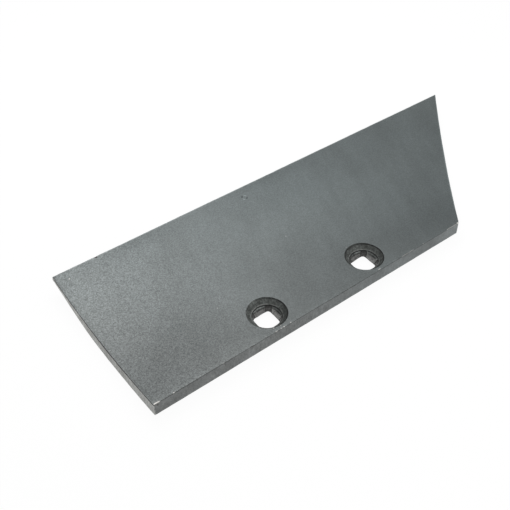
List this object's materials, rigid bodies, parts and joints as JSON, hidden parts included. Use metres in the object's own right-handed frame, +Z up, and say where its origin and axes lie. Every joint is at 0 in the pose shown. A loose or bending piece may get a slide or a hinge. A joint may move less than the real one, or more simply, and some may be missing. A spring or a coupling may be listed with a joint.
{
  "type": "plough share",
  "caption": "Plough share: a hollow-rolled steel plate, thinned underneath to its long cutting edge, one end cut at a slant, with countersunk square bolt holes along the opposite edge.",
  "frame": {"origin": "centre of the share's footprint, on the surface that it lies on, which its rounded underside touches along one line", "axes": "+X along the bolt edge and the cutting edge, from the square end towards the slanted tip; +Y from the bolt edge to the cutting edge; +Z up, out of the hollow top face"},
  "size_m": [0.4268, 0.1428, 0.018],
  "materials": {
    "forged_steel": "dull grey forged and rolled surface with a fine sandy grain, brighter where it is nicked, dark scale in the countersinks"
  },
  "bodies": {
    "root": {"plough_share": "forged_steel"}
  },
  "joints": []
}
